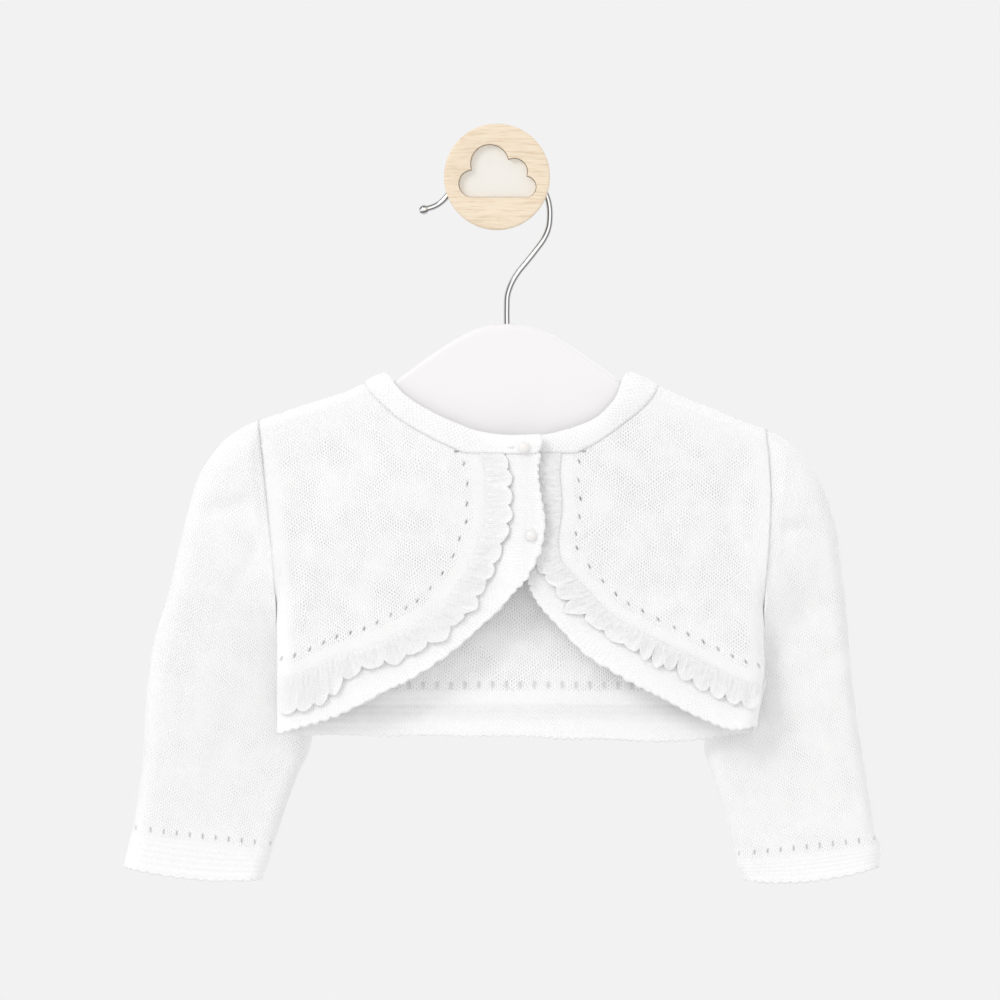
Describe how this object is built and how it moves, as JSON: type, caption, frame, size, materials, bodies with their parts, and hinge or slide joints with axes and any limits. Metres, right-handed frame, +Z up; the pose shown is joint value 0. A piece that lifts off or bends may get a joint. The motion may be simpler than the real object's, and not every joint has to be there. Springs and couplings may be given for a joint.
{
  "type": "cardigan on a hanger and wall peg",
  "caption": "Baby's long-sleeved knitted bolero cardigan with curved frilled fronts and pearl buttons, hung by a wire-hooked hanger from a round wall peg.",
  "frame": {"origin": "middle of the peg's flat back face, on the wall", "axes": "+Z up, +Y into the wall, so the garment's front faces -Y; the wearer's right sleeve is at -X"},
  "size_m": [0.3811, 0.0574, 0.3797],
  "materials": {
    "cotton_knit": "matt fine knit",
    "pearl": "pearl gloss",
    "hanger_plastic": "satin white",
    "hook_wire": "polished",
    "peg_wood": "smooth unvarnished",
    "cloud_inlay": "matt off-white"
  },
  "bodies": {
    "root": {"back_panel": "cotton_knit", "right_front": "cotton_knit", "left_front": "cotton_knit", "right_sleeve": "cotton_knit", "left_sleeve": "cotton_knit", "right_cuff": "cotton_knit", "left_cuff": "cotton_knit", "neckband": "cotton_knit", "right_front_band": "cotton_knit", "left_front_band": "cotton_knit", "back_hem_band": "cotton_knit", "right_frill": "cotton_knit", "left_frill": "cotton_knit", "back_frill": "cotton_knit", "button_top": "pearl", "button_lower": "pearl", "hanger_body": "hanger_plastic", "hook_wire": "hook_wire", "peg_disc": "peg_wood", "peg_dowel": "peg_wood", "cloud_inlay": "cloud_inlay"}
  },
  "joints": []
}
